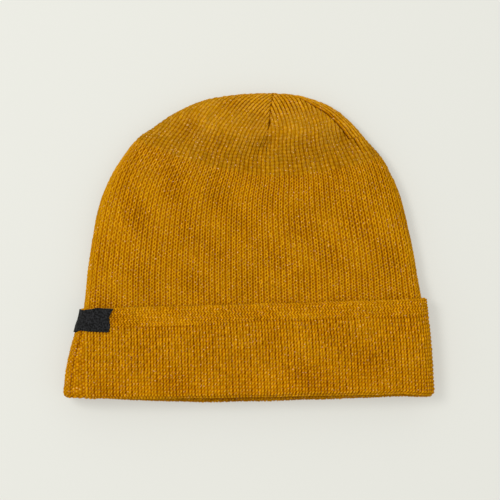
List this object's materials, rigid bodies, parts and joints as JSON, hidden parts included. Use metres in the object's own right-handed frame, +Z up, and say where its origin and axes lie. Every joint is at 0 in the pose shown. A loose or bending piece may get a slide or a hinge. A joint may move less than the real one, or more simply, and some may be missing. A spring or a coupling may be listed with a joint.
{
  "type": "watch cap",
  "caption": "Ribbed knit watch cap lying flat, with its cuff turned up and a plain woven label folded round the cuff's left edge.",
  "frame": {"origin": "under the middle of the cap's box, on the surface that it lies on", "axes": "+X across the cap to the right side fold, +Y from the hem to the crown, +Z up through the front layer"},
  "size_m": [0.236, 0.1967, 0.0253],
  "materials": {
    "mustard_knit": "soft ribbed wool knit",
    "woven_label": "plain tightly woven label"
  },
  "bodies": {
    "root": {"knit_cap": "mustard_knit", "side_label": "woven_label"}
  },
  "joints": []
}
